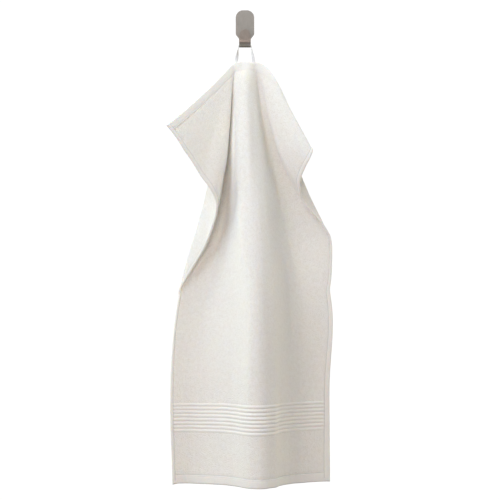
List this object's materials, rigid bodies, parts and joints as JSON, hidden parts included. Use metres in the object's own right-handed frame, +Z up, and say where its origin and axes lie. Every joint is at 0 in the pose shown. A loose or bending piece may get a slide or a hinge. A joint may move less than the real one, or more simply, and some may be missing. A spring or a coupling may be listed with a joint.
{
  "type": "hand towel on a wall hook",
  "caption": "White terry hand towel with a ribbed band near its bottom hem, hanging in soft folds by a tape loop from a small bent steel wall hook.",
  "frame": {"origin": "centre of the hook plate's back face, on the wall", "axes": "+X to the right as the towel is seen, +Y into the wall, +Z up along the towel's length"},
  "size_m": [0.2734, 0.1333, 0.7905],
  "materials": {
    "terry": "soft looped pile, off-white",
    "tape": "matt woven tape, white",
    "steel": "brushed, satin"
  },
  "bodies": {
    "root": {"towel": "terry", "hanging_loop": "tape", "wall_hook": "steel"}
  },
  "joints": []
}
